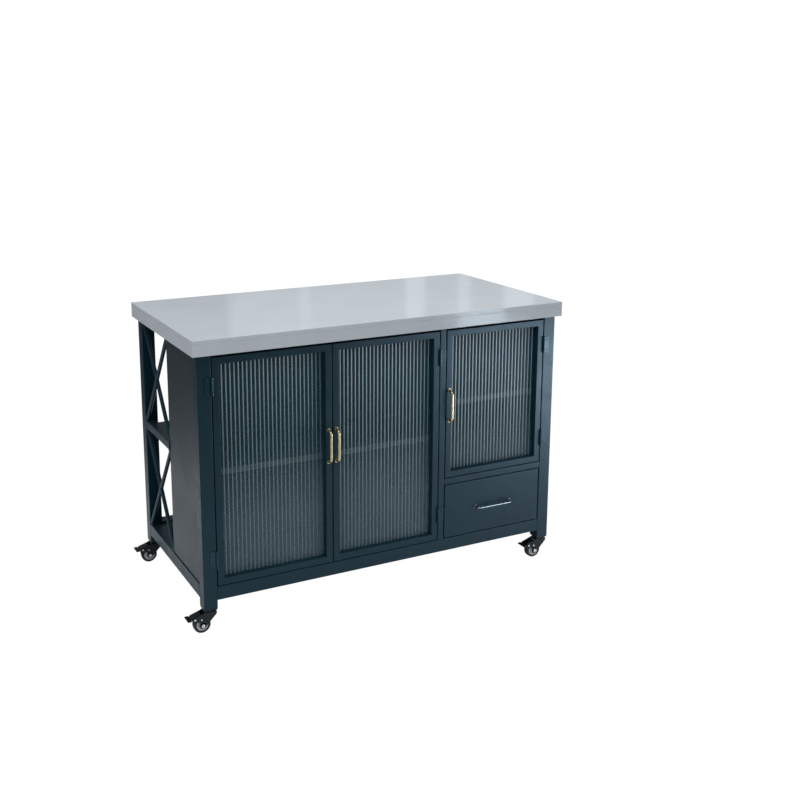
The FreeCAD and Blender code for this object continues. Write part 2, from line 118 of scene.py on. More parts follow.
floor_tree.links.new(room_level(floor_tree, 1.02, 0.0, 0.0),
                     floor_shader.inputs["Emission Strength"])
floor_mesh.materials.append(floor_paint)
scene.collection.objects.link(floor)


def soft_light(name, place, wide, high, glow, toward, colour=(1.0, 1.0, 1.0), shades=False):
    """A lamp as bright as a white wall times its glow; one that doesn't shade is only mirrored."""
    lamp = bpy.data.lights.new(name, "AREA")
    lamp.shape = "RECTANGLE"
    lamp.size, lamp.size_y = wide, high
    lamp.energy = glow * pi * wide * high
    lamp.color = colour
    stand = bpy.data.objects.new(name, lamp)
    stand.location = place
    direction = Vector(place) - Vector(toward)
    stand.rotation_euler = direction.to_track_quat("Z", "Y").to_euler()
    stand.visible_camera = False
    stand.visible_diffuse = shades
    scene.collection.objects.link(stand)


cool, paler = (0.70, 0.86, 1.0), (0.86, 0.94, 1.0)
soft_light("overhead", (-0.3, -0.7, 3.4), 3.0, 2.4, 2.6, (0.0, 0.0, 0.6), shades=True)
soft_light("left_fill", (-3.2, -0.9, 1.2), 1.6, 1.6, 1.1, (-0.6, 0.0, 0.5), shades=True)
soft_light("right_bank", (1.75, -1.30, 0.21), 1.1, 0.42, 15.0, (0.7, -0.3, 0.5), paler)
for place, glow in (((1.25, -1.75, 0.62), 9.0), ((2.60, -1.05, 0.62), 17.0)):
    soft_light("tall_strip", place, 0.22, 1.24, glow, (0.0, -0.3, 0.6), cool)
soft_light("daylight", (4.6, 6.0, 2.1), 5.4, 2.8, 0.27, (0.4, 0.0, 0.85), paler)
for x, wide, glow in ((1.75, 0.07, 0.15), (2.45, 0.10, 0.15), (3.60, 0.18, 0.30),
                      (4.15, 0.12, 0.25), (4.80, 0.30, 0.30), (5.60, 0.16, 0.20)):
    soft_light("window", (x, 5.9, 2.2), wide, 2.4, glow, (0.4, 0.0, 0.85), paler)


# STEEL FRAME ----------------------------------------------------------------------------------
# Square and flat steel tube, cut, welded and ground flush, then powder coated in a satin
# blue-black.  The tube's own rolled corners stay round.

def start_finish(name, metallic=0.0, specular=0.5, sheen=(1.0, 1.0, 1.0)):
    """A new material and its shader; the sheen tints its reflections."""
    finish = bpy.data.materials.new(name)
    finish.use_nodes = True
    shader = finish.node_tree.nodes["Principled BSDF"]
    shader.inputs["Metallic"].default_value = metallic
    shader.inputs["Specular IOR Level"].default_value = specular
    shader.inputs["Specular Tint"].default_value = (*sheen, 1.0)
    return finish, shader


def grain(finish, size, detail=3.0, stretch=(1.0, 1.0, 1.0), rough=0.55):
    """Cloudy pattern with features of that size in metres, longer along a stretched axis."""
    tree = finish.node_tree
    where = tree.nodes.new("ShaderNodeTexCoord")
    place = tree.nodes.new("ShaderNodeMapping")
    place.inputs["Scale"].default_value = [1.0 / s for s in stretch]
    cloud = tree.nodes.new("ShaderNodeTexNoise")
    cloud.inputs["Scale"].default_value = 1.0 / size
    cloud.inputs["Detail"].default_value = detail
    cloud.inputs["Roughness"].default_value = rough
    tree.links.new(where.outputs["Object"], place.inputs["Vector"])
    tree.links.new(place.outputs["Vector"], cloud.inputs["Vector"])
    return cloud.outputs["Fac"]


def spread(finish, pattern, low, high, starts=0.3, ends=0.7):
    """The pattern as a number between low and high."""
    tree = finish.node_tree
    ramp = tree.nodes.new("ShaderNodeMapRange")
    ramp.inputs["From Min"].default_value = starts
    ramp.inputs["From Max"].default_value = ends
    ramp.inputs["To Min"].default_value = low
    ramp.inputs["To Max"].default_value = high
    tree.links.new(pattern, ramp.inputs["Value"])
    return ramp.outputs["Result"]


def tint(finish, pattern, dark, light, starts=0.3, ends=0.7):
    """The pattern as a colour between two."""
    tree = finish.node_tree
    ramp = tree.nodes.new("ShaderNodeValToRGB")
    ramp.color_ramp.elements[0].position = starts
    ramp.color_ramp.elements[0].color = (*dark, 1.0)
    ramp.color_ramp.elements[1].position = ends
    ramp.color_ramp.elements[1].color = (*light, 1.0)
    tree.links.new(pattern, ramp.inputs["Fac"])
    return ramp.outputs["Color"]


def blend_colours(finish, amount, first, second):
    """One colour pattern over another; the amount is one share or a pattern."""
    tree = finish.node_tree
    mix = tree.nodes.new("ShaderNodeMix")
    mix.data_type = "RGBA"
    if isinstance(amount, float):
        mix.inputs[0].default_value = amount
    else:
        tree.links.new(amount, mix.inputs[0])
    tree.links.new(first, mix.inputs[6])
    tree.links.new(second, mix.inputs[7])
    return mix.outputs[2]


def relief(finish, shader, pattern, height, strength=1.0):
    """The pattern as a raised surface of that height in metres."""
    tree = finish.node_tree
    bump = tree.nodes.new("ShaderNodeBump")
    bump.inputs["Strength"].default_value = strength
    bump.inputs["Distance"].default_value = height
    tree.links.new(pattern, bump.inputs["Height"])
    tree.links.new(bump.outputs["Normal"], shader.inputs["Normal"])


def connect(finish, pattern, socket):
    """Feeds a pattern into a socket of the finish's shader."""
    finish.node_tree.links.new(pattern, socket)


frame_paint, shader = start_finish("frame_paint", specular=0.32, sheen=(0.66, 0.85, 1.0))
tone = grain(frame_paint, 0.22, detail=2.0)
connect(frame_paint, tint(frame_paint, tone, (0.0024, 0.0180, 0.0275), (0.0038, 0.0230, 0.0345)),
        shader.inputs["Base Color"])
connect(frame_paint, spread(frame_paint, grain(frame_paint, 0.035), 0.33, 0.43),
        shader.inputs["Roughness"])
relief(frame_paint, shader, grain(frame_paint, 0.0016, detail=1.0), 0.00006, 0.5)


def soften(bm, edges, radius, segments=3):
    """Rounds the given edges."""
    bmesh.ops.bevel(bm, geom=edges, offset=radius, offset_type="OFFSET", segments=segments,
                    profile=0.5, affect="EDGES", material=-1, clamp_overlap=True)


def sharp_edges(bm, over=30.0):
    """Edges where two faces meet at more than that many degrees."""
    bmesh.ops.recalc_face_normals(bm, faces=bm.faces)
    bm.normal_update()
    return [e for e in bm.edges
            if len(e.link_faces) == 2 and e.calc_face_angle(0.0) > radians(over)]


def points_in(geom):
    """The vertices in a mixed list of mesh parts."""
    return [v for v in geom if isinstance(v, bmesh.types.BMVert)]


def bar(bm, low, high, radius):
    """One straight tube or board between two corners, with its edges rounded."""
    low, high = Vector(low), Vector(high)
    part = bmesh.new()
    bmesh.ops.create_cube(part, size=1.0)
    bmesh.ops.scale(part, vec=high - low, verts=part.verts)
    bmesh.ops.translate(part, vec=(low + high) / 2, verts=part.verts)
    soften(part, part.edges[:], radius)
    join(bm, part)


def join(bm, part):
    """Adds one finished mesh to another."""
    bmesh.ops.recalc_face_normals(part, faces=part.faces)
    hold = bpy.data.meshes.new("hold")
    part.to_mesh(hold)
    part.free()
    bm.from_mesh(hold)
    bpy.data.meshes.remove(hold)


def piece(bm, name, finish, body, slot, *stands_for):
    """Makes the finished piece, shaded smooth over its rounded edges."""
    mesh = bpy.data.meshes.new(name)
    bm.to_mesh(mesh)
    bm.free()
    mesh.shade_smooth()
    crease = radians(38.0)
    mesh.set_sharp_from_angle(angle=crease)
    mesh.materials.append(finish)
    made = bpy.data.objects.new(name, mesh)
    scene.collection.objects.link(made)
    even = made.modifiers.new("even_faces", "WEIGHTED_NORMAL")
    even.keep_sharp = True
    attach(made, body)
    if stands_for:
        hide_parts(*stands_for)
    return made


def both_sides(box):
    """A box and its copy on the other side of the middle, across X."""
    (x0, y0, z0), (x1, y1, z1) = box
    return [box, ((-x1, y0, z0), (-x0, y1, z1))]


tube, tube_corner, thin_corner = 0.040, 0.0018, 0.0014
outer_x, inner_x, side_x = 0.585, 0.545, 0.560
outer_y, inner_y = 0.285, 0.245
leg_low, rail_low, rail_high = 0.070, 0.095, 0.135
shelf_rail_low, shelf_rail_high = 0.457, 0.482
rim_low, rim_high = 0.800, 0.820

bm = bmesh.new()
for x in (-outer_x, inner_x):
    for y in (-outer_y, inner_y):
        bar(bm, (x, y, leg_low), (x + tube, y + tube, rim_high), tube_corner)
piece(bm, "frame_posts", frame_paint, "frame", "frame_paint", "corner_posts")

bm = bmesh.new()
for y in (-outer_y, inner_y):
    bar(bm, (-inner_x, y, rail_low), (inner_x, y + tube, rail_high), tube_corner)
for low, high in both_sides(((-outer_x, -inner_y, rail_low), (-side_x, inner_y, rail_high))):
    bar(bm, low, high, tube_corner)
piece(bm, "frame_bottom_rails", frame_paint, "frame", "frame_paint", "bottom_rails")

bm = bmesh.new()
bar(bm, (-inner_x, -outer_y, rim_low), (inner_x, -0.235, rim_high), thin_corner)
bar(bm, (-inner_x, inner_y, rim_low), (inner_x, outer_y, rim_high), thin_corner)
for low, high in both_sides(((-outer_x, -inner_y, rim_low), (-side_x, inner_y, rim_high))):
    bar(bm, low, high, thin_corner)
piece(bm, "frame_top_rails", frame_paint, "frame", "frame_paint", "top_rails")

bm = bmesh.new()
for low, high in both_sides(((-outer_x, 0.0, shelf_rail_low),
                             (-side_x, inner_y, shelf_rail_high))):
    bar(bm, low, high, thin_corner)
piece(bm, "frame_shelf_rails", frame_paint, "frame", "frame_paint", "shelf_rails")

bm = bmesh.new()
bar(bm, (0.170, -outer_y, rail_high), (0.190, -inner_y, rim_low), thin_corner)
bar(bm, (0.190, -outer_y, 0.311), (inner_x, -inner_y, 0.331), thin_corner)
piece(bm, "frame_divider_tubes", frame_paint, "frame", "frame_paint", "front_divider_tubes")


# CROSSED RODS ---------------------------------------------------------------------------------
# Round 12 mm bar, two to a bay, welded into the corners of the frame and to each other where
# they cross.  Each weld is a small rounded bead, painted over with the frame.

def rod(bm, start, end, radius, sides=20):
    """Round bar between two points."""
    start, end = Vector(start), Vector(end)
    part = bmesh.new()
    bmesh.ops.create_cone(part, cap_ends=True, segments=sides, radius1=radius, radius2=radius,
                          depth=(end - start).length)
    lean = (end - start).to_track_quat("Z", "Y").to_matrix().to_4x4()
    bmesh.ops.transform(part, matrix=Matrix.Translation((start + end) / 2) @ lean,
                        verts=part.verts)
    join(bm, part)


def bead(bm, place, size):
    """A weld bead, squashed along X so that it stays close to the rod."""
    part = bmesh.new()
    bmesh.ops.create_icosphere(part, subdivisions=2, radius=1.0)
    bmesh.ops.scale(part, vec=size, verts=part.verts)
    bmesh.ops.translate(part, vec=place, verts=part.verts)
    join(bm, part)


def brace(bm, x, low, high, falling):
    """One 12 mm rod of a bay, cut flush with the frame at both ends."""
    part = bmesh.new()
    near, far = (high, low) if falling else (low, high)
    reach = Vector((0, inner_y, far - near)) * 0.1
    rod(part, Vector((x, 0.0, near)) - reach, Vector((x, inner_y, far)) + reach, 0.006, 28)
    for place, out in (((0, 0, low), (0, 0, -1)), ((0, 0, high), (0, 0, 1)),
                       ((0, 0, 0), (0, -1, 0)), ((0, inner_y, 0), (0, 1, 0))):
        bmesh.ops.bisect_plane(part, geom=part.verts[:] + part.edges[:] + part.faces[:],
                               plane_co=place, plane_no=out, clear_outer=True)
        bmesh.ops.holes_fill(part, edges=[e for e in part.edges if e.is_boundary])
    join(bm, part)


for side, name in ((-1, "left"), (1, "right")):
    bm = bmesh.new()
    for low, high in ((shelf_rail_high, rim_low), (rail_high, shelf_rail_low)):
        x = side * 0.578
        brace(bm, x, low, high, True)
        brace(bm, x, low, high, False)
        bead(bm, (x, inner_y / 2, (low + high) / 2), (0.0064, 0.0080, 0.0092))
        for y, z in ((0.0080, low + 0.0030), (0.0080, high - 0.0030), (0.2400, low + 0.0030),
                     (0.2400, high - 0.0030)):
            bead(bm, (x, y, z), (0.0064, 0.0080, 0.0075))
    piece(bm, name + "_crossed_rods", frame_paint, "frame", "frame_paint",
          name + "_brace_rods")


# CABINET BOARDS -------------------------------------------------------------------------------
# Panels and shelves of board, rolled with a matt blue-black paint that leaves a fine stipple.
# The side panels sit back from the posts and keep a narrow groove beside the front post.

board_paint, shader = start_finish("board_paint", specular=0.42, sheen=(0.80, 0.92, 1.0))
cloudy = tint(board_paint, grain(board_paint, 0.30, detail=2.0), (0.0130, 0.0195, 0.0265),
              (0.0165, 0.0240, 0.0320))
dusty = tint(board_paint, grain(board_paint, 0.012, detail=4.0), (0.0125, 0.0190, 0.0255),
             (0.0175, 0.0250, 0.0335))
dust_share = 0.4
connect(board_paint, blend_colours(board_paint, dust_share, cloudy, dusty),
        shader.inputs["Base Color"])
connect(board_paint, spread(board_paint, grain(board_paint, 0.14, detail=2.0), 0.40, 0.46),
        shader.inputs["Roughness"])
relief(board_paint, shader, grain(board_paint, 0.0022, detail=2.0), 0.00012, 0.6)


def board(name, boxes, radius, *stands_for):
    """One or more painted boards, each given by two corners, as one piece."""
    bm = bmesh.new()
    for low, high in boxes:
        bar(bm, low, high, radius)
    return piece(bm, name, board_paint, "frame", "painted_board", *stands_for)


panel_out, panel_mid, panel_in, back_front = 0.582, 0.577, 0.572, -0.012
panel = both_sides(((-panel_out, -0.243, rail_high), (-panel_mid, 0.0, rim_low)))
backing = both_sides(((-panel_mid, -inner_y, rail_high), (-panel_in, 0.0, rim_low)))
board("side_boards", panel + backing, 0.0006, "side_panels")
board("back_board", [((-panel_in, back_front, rail_high), (panel_in, 0.0, rim_low))], 0.0006,
      "cabinet_back")
board("floor_board", [((-side_x, -inner_y, 0.117), (side_x, 0.0, rail_high))], 0.0006,
      "cabinet_floor")
board("divider_board", [((0.171, -inner_y, rail_high), (0.189, back_front, rim_low))], 0.0008,
      "bay_divider")
board("deck_board", [((0.189, -inner_y, 0.313), (panel_in, back_front, 0.329))], 0.0008,
      "drawer_deck")
board("inside_shelves", [((-0.571, -0.239, 0.445), (0.170, back_front, 0.463)),
                         ((0.190, -0.239, 0.547), (0.571, back_front, 0.565))], 0.0008,
      "cabinet_shelves")
board("open_shelves", [((-side_x, 0.0, z), (side_x, inner_y, z + 0.018))
                       for z in (0.110, 0.451)], 0.0015, "rear_shelves")


# SHELF LIPPINGS -------------------------------------------------------------------------------
# Pale grey edge band, 1 mm thick, ironed on the front edge of the two inside shelves.

lipping, shader = start_finish("grey_edge_band", specular=0.5)
connect(lipping, tint(lipping, grain(lipping, 0.010, detail=4.0, stretch=(8, 1, 1)),
                      (0.34, 0.38, 0.40), (0.44, 0.48, 0.50)), shader.inputs["Base Color"])
connect(lipping, spread(lipping, grain(lipping, 0.004), 0.30, 0.42), shader.inputs["Roughness"])
relief(lipping, shader, grain(lipping, 0.002, detail=2.0, stretch=(8, 1, 1)), 0.00005, 0.4)
bm = bmesh.new()
bar(bm, (-0.571, -0.240, 0.4452), (0.170, -0.239, 0.4628), 0.0004)
bar(bm, (0.190, -0.240, 0.5472), (0.571, -0.239, 0.5648), 0.0004)
piece(bm, "shelf_edge_bands", lipping, "frame", "grey_plastic")


# SHELF PINS AND CATCHES -----------------------------------------------------------------------
# Zinc plated pins pushed into the cabinet walls hold the inside shelves, and black moulded
# catches under the front rail hold the doors shut.

zinc, shader = start_finish("zinc_plate", metallic=1.0)
connect(zinc, tint(zinc, grain(zinc, 0.004), (0.50, 0.51, 0.52), (0.68, 0.69, 0.69)),
        shader.inputs["Base Color"])
connect(zinc, spread(zinc, grain(zinc, 0.002), 0.22, 0.38), shader.inputs["Roughness"])
relief(zinc, shader, grain(zinc, 0.0006, detail=1.0), 0.00002, 0.4)

black_plastic, shader = start_finish("black_plastic", specular=0.4)
connect(black_plastic, tint(black_plastic, grain(black_plastic, 0.008), (0.012, 0.012, 0.013),
                            (0.022, 0.022, 0.023)), shader.inputs["Base Color"])
connect(black_plastic, spread(black_plastic, grain(black_plastic, 0.001), 0.45, 0.60),
        shader.inputs["Roughness"])
relief(black_plastic, shader, grain(black_plastic, 0.0005, detail=1.0), 0.00003, 0.5)

bm = bmesh.new()
for z, walls in ((0.4425, ((-panel_in, 1), (0.171, -1))),
                 (0.5445, ((0.189, 1), (panel_in, -1)))):
    for x, inward in walls:
        for y in (-0.205, -0.052):
            rod(bm, (x, y, z), (x + inward * 0.010, y, z), 0.0025, 16)
            rod(bm, (x, y, z), (x + inward * 0.0012, y, z), 0.0042, 20)
piece(bm, "shelf_support_pins", zinc, "frame", "zinc_steel", "shelf_pins")

bm = bmesh.new()
for x in (-0.2175, -0.1545, 0.223):
    bar(bm, (x - 0.015, -0.257, 0.786), (x + 0.015, -0.235, 0.800), 0.0010)
    bar(bm, (x - 0.009, -0.2574, 0.7885), (x + 0.009, -0.2570, 0.7965), 0.0002)
piece(bm, "door_magnet_catches", black_plastic, "frame", "black_plastic", "door_catches")


# WORKTOP --------------------------------------------------------------------------------------
# A 12 mm sheet of pale grey engineered stone, polished, with an edging of the same stone glued
# under its rim round a plywood core.

stone, shader = start_finish("polished_stone", specular=0.30)
clouds = tint(stone, grain(stone, 0.11, detail=6.0, rough=0.62), (0.468, 0.488, 0.512),
              (0.508, 0.530, 0.556), 0.34, 0.66)
crumbs = tint(stone, grain(stone, 0.0035, detail=5.0, rough=0.7), (0.415, 0.434, 0.458),
              (0.555, 0.576, 0.602), 0.32, 0.68)
crumb_share = 0.28
connect(stone, blend_colours(stone, crumb_share, clouds, crumbs), shader.inputs["Base Color"])
connect(stone, spread(stone, grain(stone, 0.05, detail=5.0), 0.07, 0.12),
        shader.inputs["Roughness"])
relief(stone, shader, grain(stone, 0.004, detail=3.0), 0.00003, 0.35)

half_wide, half_deep, stone_thick, arris = 0.600, 0.300, 0.012, 0.0009
edging_low, sheet_low, top_high = 0.805, 0.838, 0.850
core_wide, core_deep = 0.588, 0.288

bm = bmesh.new()
bar(bm, (-half_wide, -half_deep, sheet_low), (half_wide, half_deep, top_high), arris)
piece(bm, "stone_sheet", stone, "frame", "stone", "worktop_sheet")

bm = bmesh.new()
for y in (-half_deep, core_deep):
    bar(bm, (-half_wide, y, edging_low), (half_wide, y + stone_thick, sheet_low), arris)
for x in (-half_wide, core_wide):
    bar(bm, (x, -core_deep, edging_low), (x + stone_thick, core_deep, sheet_low), arris)
piece(bm, "stone_edging", stone, "frame", "stone", "worktop_edging")

plywood, shader = start_finish("birch_plywood", specular=0.35)
figure = grain(plywood, 0.012, detail=6.0, stretch=(9.0, 9.0, 1.0))
connect(plywood, tint(plywood, figure, (0.40, 0.27, 0.14), (0.62, 0.47, 0.29)),
        shader.inputs["Base Color"])
connect(plywood, spread(plywood, figure, 0.50, 0.68), shader.inputs["Roughness"])
relief(plywood, shader, grain(plywood, 0.0015, detail=3.0, stretch=(12.0, 12.0, 1.0)), 0.0001)

bm = bmesh.new()
bar(bm, (-core_wide, -core_deep, rim_high), (core_wide, core_deep, sheet_low), 0.0004)
piece(bm, "top_core_board", plywood, "frame", "plywood", "worktop_core")


# HINGES ON THE FRAME --------------------------------------------------------------------------
# Six short butt hinges of 2 mm steel, two to a door.  One leaf lies on the post's face under
# two low domed screws; the knuckles roll round a pin with a button head.

pin_y = -0.289
hung = {"left_door": (-0.544, 1, 0.137), "middle_door": (0.169, -1, 0.137),
        "right_door": (0.544, -1, 0.333)}
leaf_high, knuckle_high, hinge_inset = 0.051, 0.009, 0.080
door_high = 0.796


def hinge_lows(door_low):
    """Lowest point of a door's lower and upper hinge."""
    return (door_low + hinge_inset - leaf_high / 2, door_high - hinge_inset - leaf_high / 2)


def knuckle(bm, x, low, high):
    """Rolled barrel with its ends eased."""
    part = bmesh.new()
    bmesh.ops.create_cone(part, cap_ends=True, segments=28, radius1=0.0035, radius2=0.0035,
                          depth=high - low)
    soften(part, sharp_edges(part, 60.0), 0.0004, 2)
    bmesh.ops.translate(part, vec=(x, pin_y, (low + high) / 2), verts=part.verts)
    join(bm, part)


def domed_screw(bm, place, radius, high, out):
    """Low domed head, slightly dished on top."""
    part = bmesh.new()
    bmesh.ops.create_cone(part, cap_ends=True, segments=24, radius1=radius,
                          radius2=radius * 0.72, depth=high)
    top = [f for f in part.faces if f.normal.z > 0.9]
    bmesh.ops.inset_region(part, faces=top, thickness=radius * 0.38, depth=-high * 0.35)
    soften(part, sharp_edges(part, 35.0), high * 0.12, 2)
    turn_out = Vector(out).to_track_quat("Z", "Y").to_matrix().to_4x4()
    seat = Matrix.Translation(Vector(place) + Vector(out) * high / 2)
    bmesh.ops.transform(part, matrix=seat @ turn_out, verts=part.verts)
    join(bm, part)


# The hinges wear the frame's blue-black made a little lighter, a painted highlight for the light
# their knuckles and leaves catch, and a glossier finish.
lit_hinge_coat, shader = start_finish("lit_hinge_coat", specular=0.38, sheen=(0.66, 0.85, 1.0))
connect(lit_hinge_coat, tint(lit_hinge_coat, grain(lit_hinge_coat, 0.02), (0.0040, 0.0220, 0.0330),
                         (0.0070, 0.0290, 0.0420)), shader.inputs["Base Color"])
connect(lit_hinge_coat, spread(lit_hinge_coat, grain(lit_hinge_coat, 0.006), 0.22, 0.32),
        shader.inputs["Roughness"])
relief(lit_hinge_coat, shader, grain(lit_hinge_coat, 0.0012, detail=1.0), 0.00003, 0.4)

leaves, pins, screws = bmesh.new(), bmesh.new(), bmesh.new()
for x, side, door_low in hung.values():
    for z in hinge_lows(door_low):
        near, far = x - side * 0.0041, x - side * 0.020
        bar(leaves, (min(near, far), -0.287, z), (max(near, far), -0.285, z + leaf_high), 0.0005)
        for low in (z, z + leaf_high - knuckle_high):
            knuckle(leaves, x, low, low + knuckle_high)
            bar(leaves, (min(near, x), -0.287, low), (max(near, x), -0.2856, low + knuckle_high),
                0.0004)
        domed_screw(pins, (x, pin_y, z + leaf_high), 0.0027, 0.0012, (0, 0, 1))
        domed_screw(pins, (x, pin_y, z), 0.0020, 0.0006, (0, 0, -1))
        for up in (0.009, leaf_high - 0.009):
            domed_screw(screws, (x - side * 0.013, -0.287, z + up), 0.0028, 0.0010, (0, -1, 0))
piece(leaves, "post_hinge_leaves", lit_hinge_coat, "frame", "hinge_paint", "frame_hinge_leaves")
piece(pins, "hinge_pin_heads", lit_hinge_coat, "frame", "hinge_paint", "hinge_pins")
piece(screws, "hinge_leaf_screws", lit_hinge_coat, "frame", "hinge_paint", "hinge_screws")


# DOORS ----------------------------------------------------------------------------------------
# Each door is a mitred frame of 20 mm square tube with its pane behind it: 5 mm reeded glass,
# ribbed on the front, bedded against the frame and held by a ring of angle strip.

reeded_glass, shader = start_finish("reeded_glass", specular=0.34)
shader.inputs["IOR"].default_value = 1.5
lit_flank = reeded_glass.node_tree.nodes.new("ShaderNodeAttribute")
lit_flank.attribute_name = "flank"
pane_place = reeded_glass.node_tree.nodes.new("ShaderNodeTexCoord")
across_up = reeded_glass.node_tree.nodes.new("ShaderNodeSeparateXYZ")
connect(reeded_glass, pane_place.outputs["Object"], across_up.inputs["Vector"])
# Below 0.31 m the pane is painted paler and greyer, turning to the deep teal above 0.50 m: a
# painted reflection of the pale floor near the cart.
reflection_below, deep_above = 0.31, 0.50
height = spread(reeded_glass, across_up.outputs["Z"], 0.0, 1.0, reflection_below, deep_above)
deep_tint = tint(reeded_glass, grain(reeded_glass, 0.20, detail=2.0), (0.004, 0.042, 0.056),
                 (0.010, 0.054, 0.070))
reflection_tint = tint(reeded_glass, grain(reeded_glass, 0.20, detail=2.0), (0.070, 0.116, 0.145),
                  (0.094, 0.145, 0.180))
tint_and_reflection = blend_colours(reeded_glass, height, reflection_tint, deep_tint)
# Painted highlight lines along one flank of every rib: brighter towards the top of the pane, and
# much brighter on the panes to the right, where the light comes from.
highlight_left = tint(reeded_glass, across_up.outputs["Z"], (0.150, 0.215, 0.245),
                 (0.255, 0.365, 0.400), 0.56, 0.78)
highlight_right = tint(reeded_glass, across_up.outputs["Z"], (0.240, 0.335, 0.395),
                  (0.480, 0.650, 0.800), 0.36, 0.68)
toward_light = spread(reeded_glass, across_up.outputs["X"], 0.0, 1.0, -0.20, 0.42)
highlight_tint = blend_colours(reeded_glass, toward_light, highlight_left, highlight_right)
shine = spread(reeded_glass, lit_flank.outputs["Fac"], 0.0, 1.0, 0.10, 1.0)
connect(reeded_glass, blend_colours(reeded_glass, shine, tint_and_reflection, highlight_tint),
        shader.inputs["Base Color"])
connect(reeded_glass, spread(reeded_glass, lit_flank.outputs["Fac"], 0.46, 0.70, 0.0, 1.0),
        shader.inputs["Alpha"])
connect(reeded_glass, spread(reeded_glass, grain(reeded_glass, 0.03), 0.36, 0.42),
        shader.inputs["Roughness"])

brass, shader = start_finish("satin_brass", metallic=1.0)
drawn = grain(brass, 0.0006, detail=3.0, stretch=(1, 1, 30))
connect(brass, tint(brass, grain(brass, 0.012, detail=4.0), (0.53, 0.43, 0.24),
                    (0.64, 0.54, 0.34)), shader.inputs["Base Color"])
connect(brass, spread(brass, drawn, 0.20, 0.32), shader.inputs["Roughness"])
relief(brass, shader, drawn, 0.00002, 0.4)


def ring(bm, xs, ys, zs, width, radius):
    """Rectangular frame of square-edged stock, mitred at its corners."""
    part = bmesh.new()
    bmesh.ops.create_grid(part, x_segments=1, y_segments=1, size=0.5)
    bmesh.ops.rotate(part, cent=(0, 0, 0), matrix=Matrix.Rotation(radians(90), 3, "X"),
                     verts=part.verts)
    bmesh.ops.scale(part, vec=(xs[1] - xs[0], 1.0, zs[1] - zs[0]), verts=part.verts)
    bmesh.ops.translate(part, vec=((xs[0] + xs[1]) / 2, ys[0], (zs[0] + zs[1]) / 2),
                        verts=part.verts)
    middle = part.faces[:]
    bmesh.ops.inset_region(part, faces=middle, thickness=width, use_even_offset=True,
                           use_boundary=True)
    bmesh.ops.delete(part, geom=middle, context="FACES")
    walls = bmesh.ops.extrude_face_region(part, geom=part.faces[:])["geom"]
    bmesh.ops.translate(part, vec=(0, ys[1] - ys[0], 0), verts=points_in(walls))
    soften(part, sharp_edges(part), radius)
    join(bm, part)


def reeded_pane(xs, zs, front, back, pitch=0.0121, depth=0.0016):
    """A sheet whose front is a row of shallow round ribs, closed all round."""
    count = round((xs[1] - xs[0]) / pitch)
    step = (xs[1] - xs[0]) / count
    radius = step * step / (8 * depth) + depth / 2
    sweep = 2 * asin(step / 2 / radius)
    bm = bmesh.new()
    first = bmesh.ops.create_vert(bm, co=(xs[0], front + depth, zs[0]))["vert"]
    bmesh.ops.spin(bm, geom=first, cent=(xs[0] + step / 2, front + radius, zs[0]),
                   axis=(0, 0, 1), angle=sweep, steps=8)
    rib = bm.verts[:] + bm.edges[:]
    for i in range(1, count):
        copy = bmesh.ops.duplicate(bm, geom=rib)["geom"]
        bmesh.ops.translate(bm, vec=(i * step, 0, 0), verts=points_in(copy))
    bmesh.ops.remove_doubles(bm, verts=bm.verts, dist=0.00005)
    rear = bmesh.ops.extrude_edge_only(bm, edges=bm.edges[:])["geom"]
    for v in points_in(rear):
        v.co.y = back
    up = bmesh.ops.extrude_face_region(bm, geom=bm.faces[:])["geom"]
    bmesh.ops.translate(bm, vec=(0, 0, zs[1] - zs[0]), verts=points_in(up))
    bmesh.ops.recalc_face_normals(bm, faces=bm.faces)
    # A value across each rib, high on the one flank where the glass finish paints its highlight
    # line.
    flank = bm.verts.layers.float.new("flank")
    for v in bm.verts:
        if v.co.y < front + depth + 1e-6:
            v[flank] = -sin(2 * pi * (v.co.x - xs[0]) / step)
    return bm


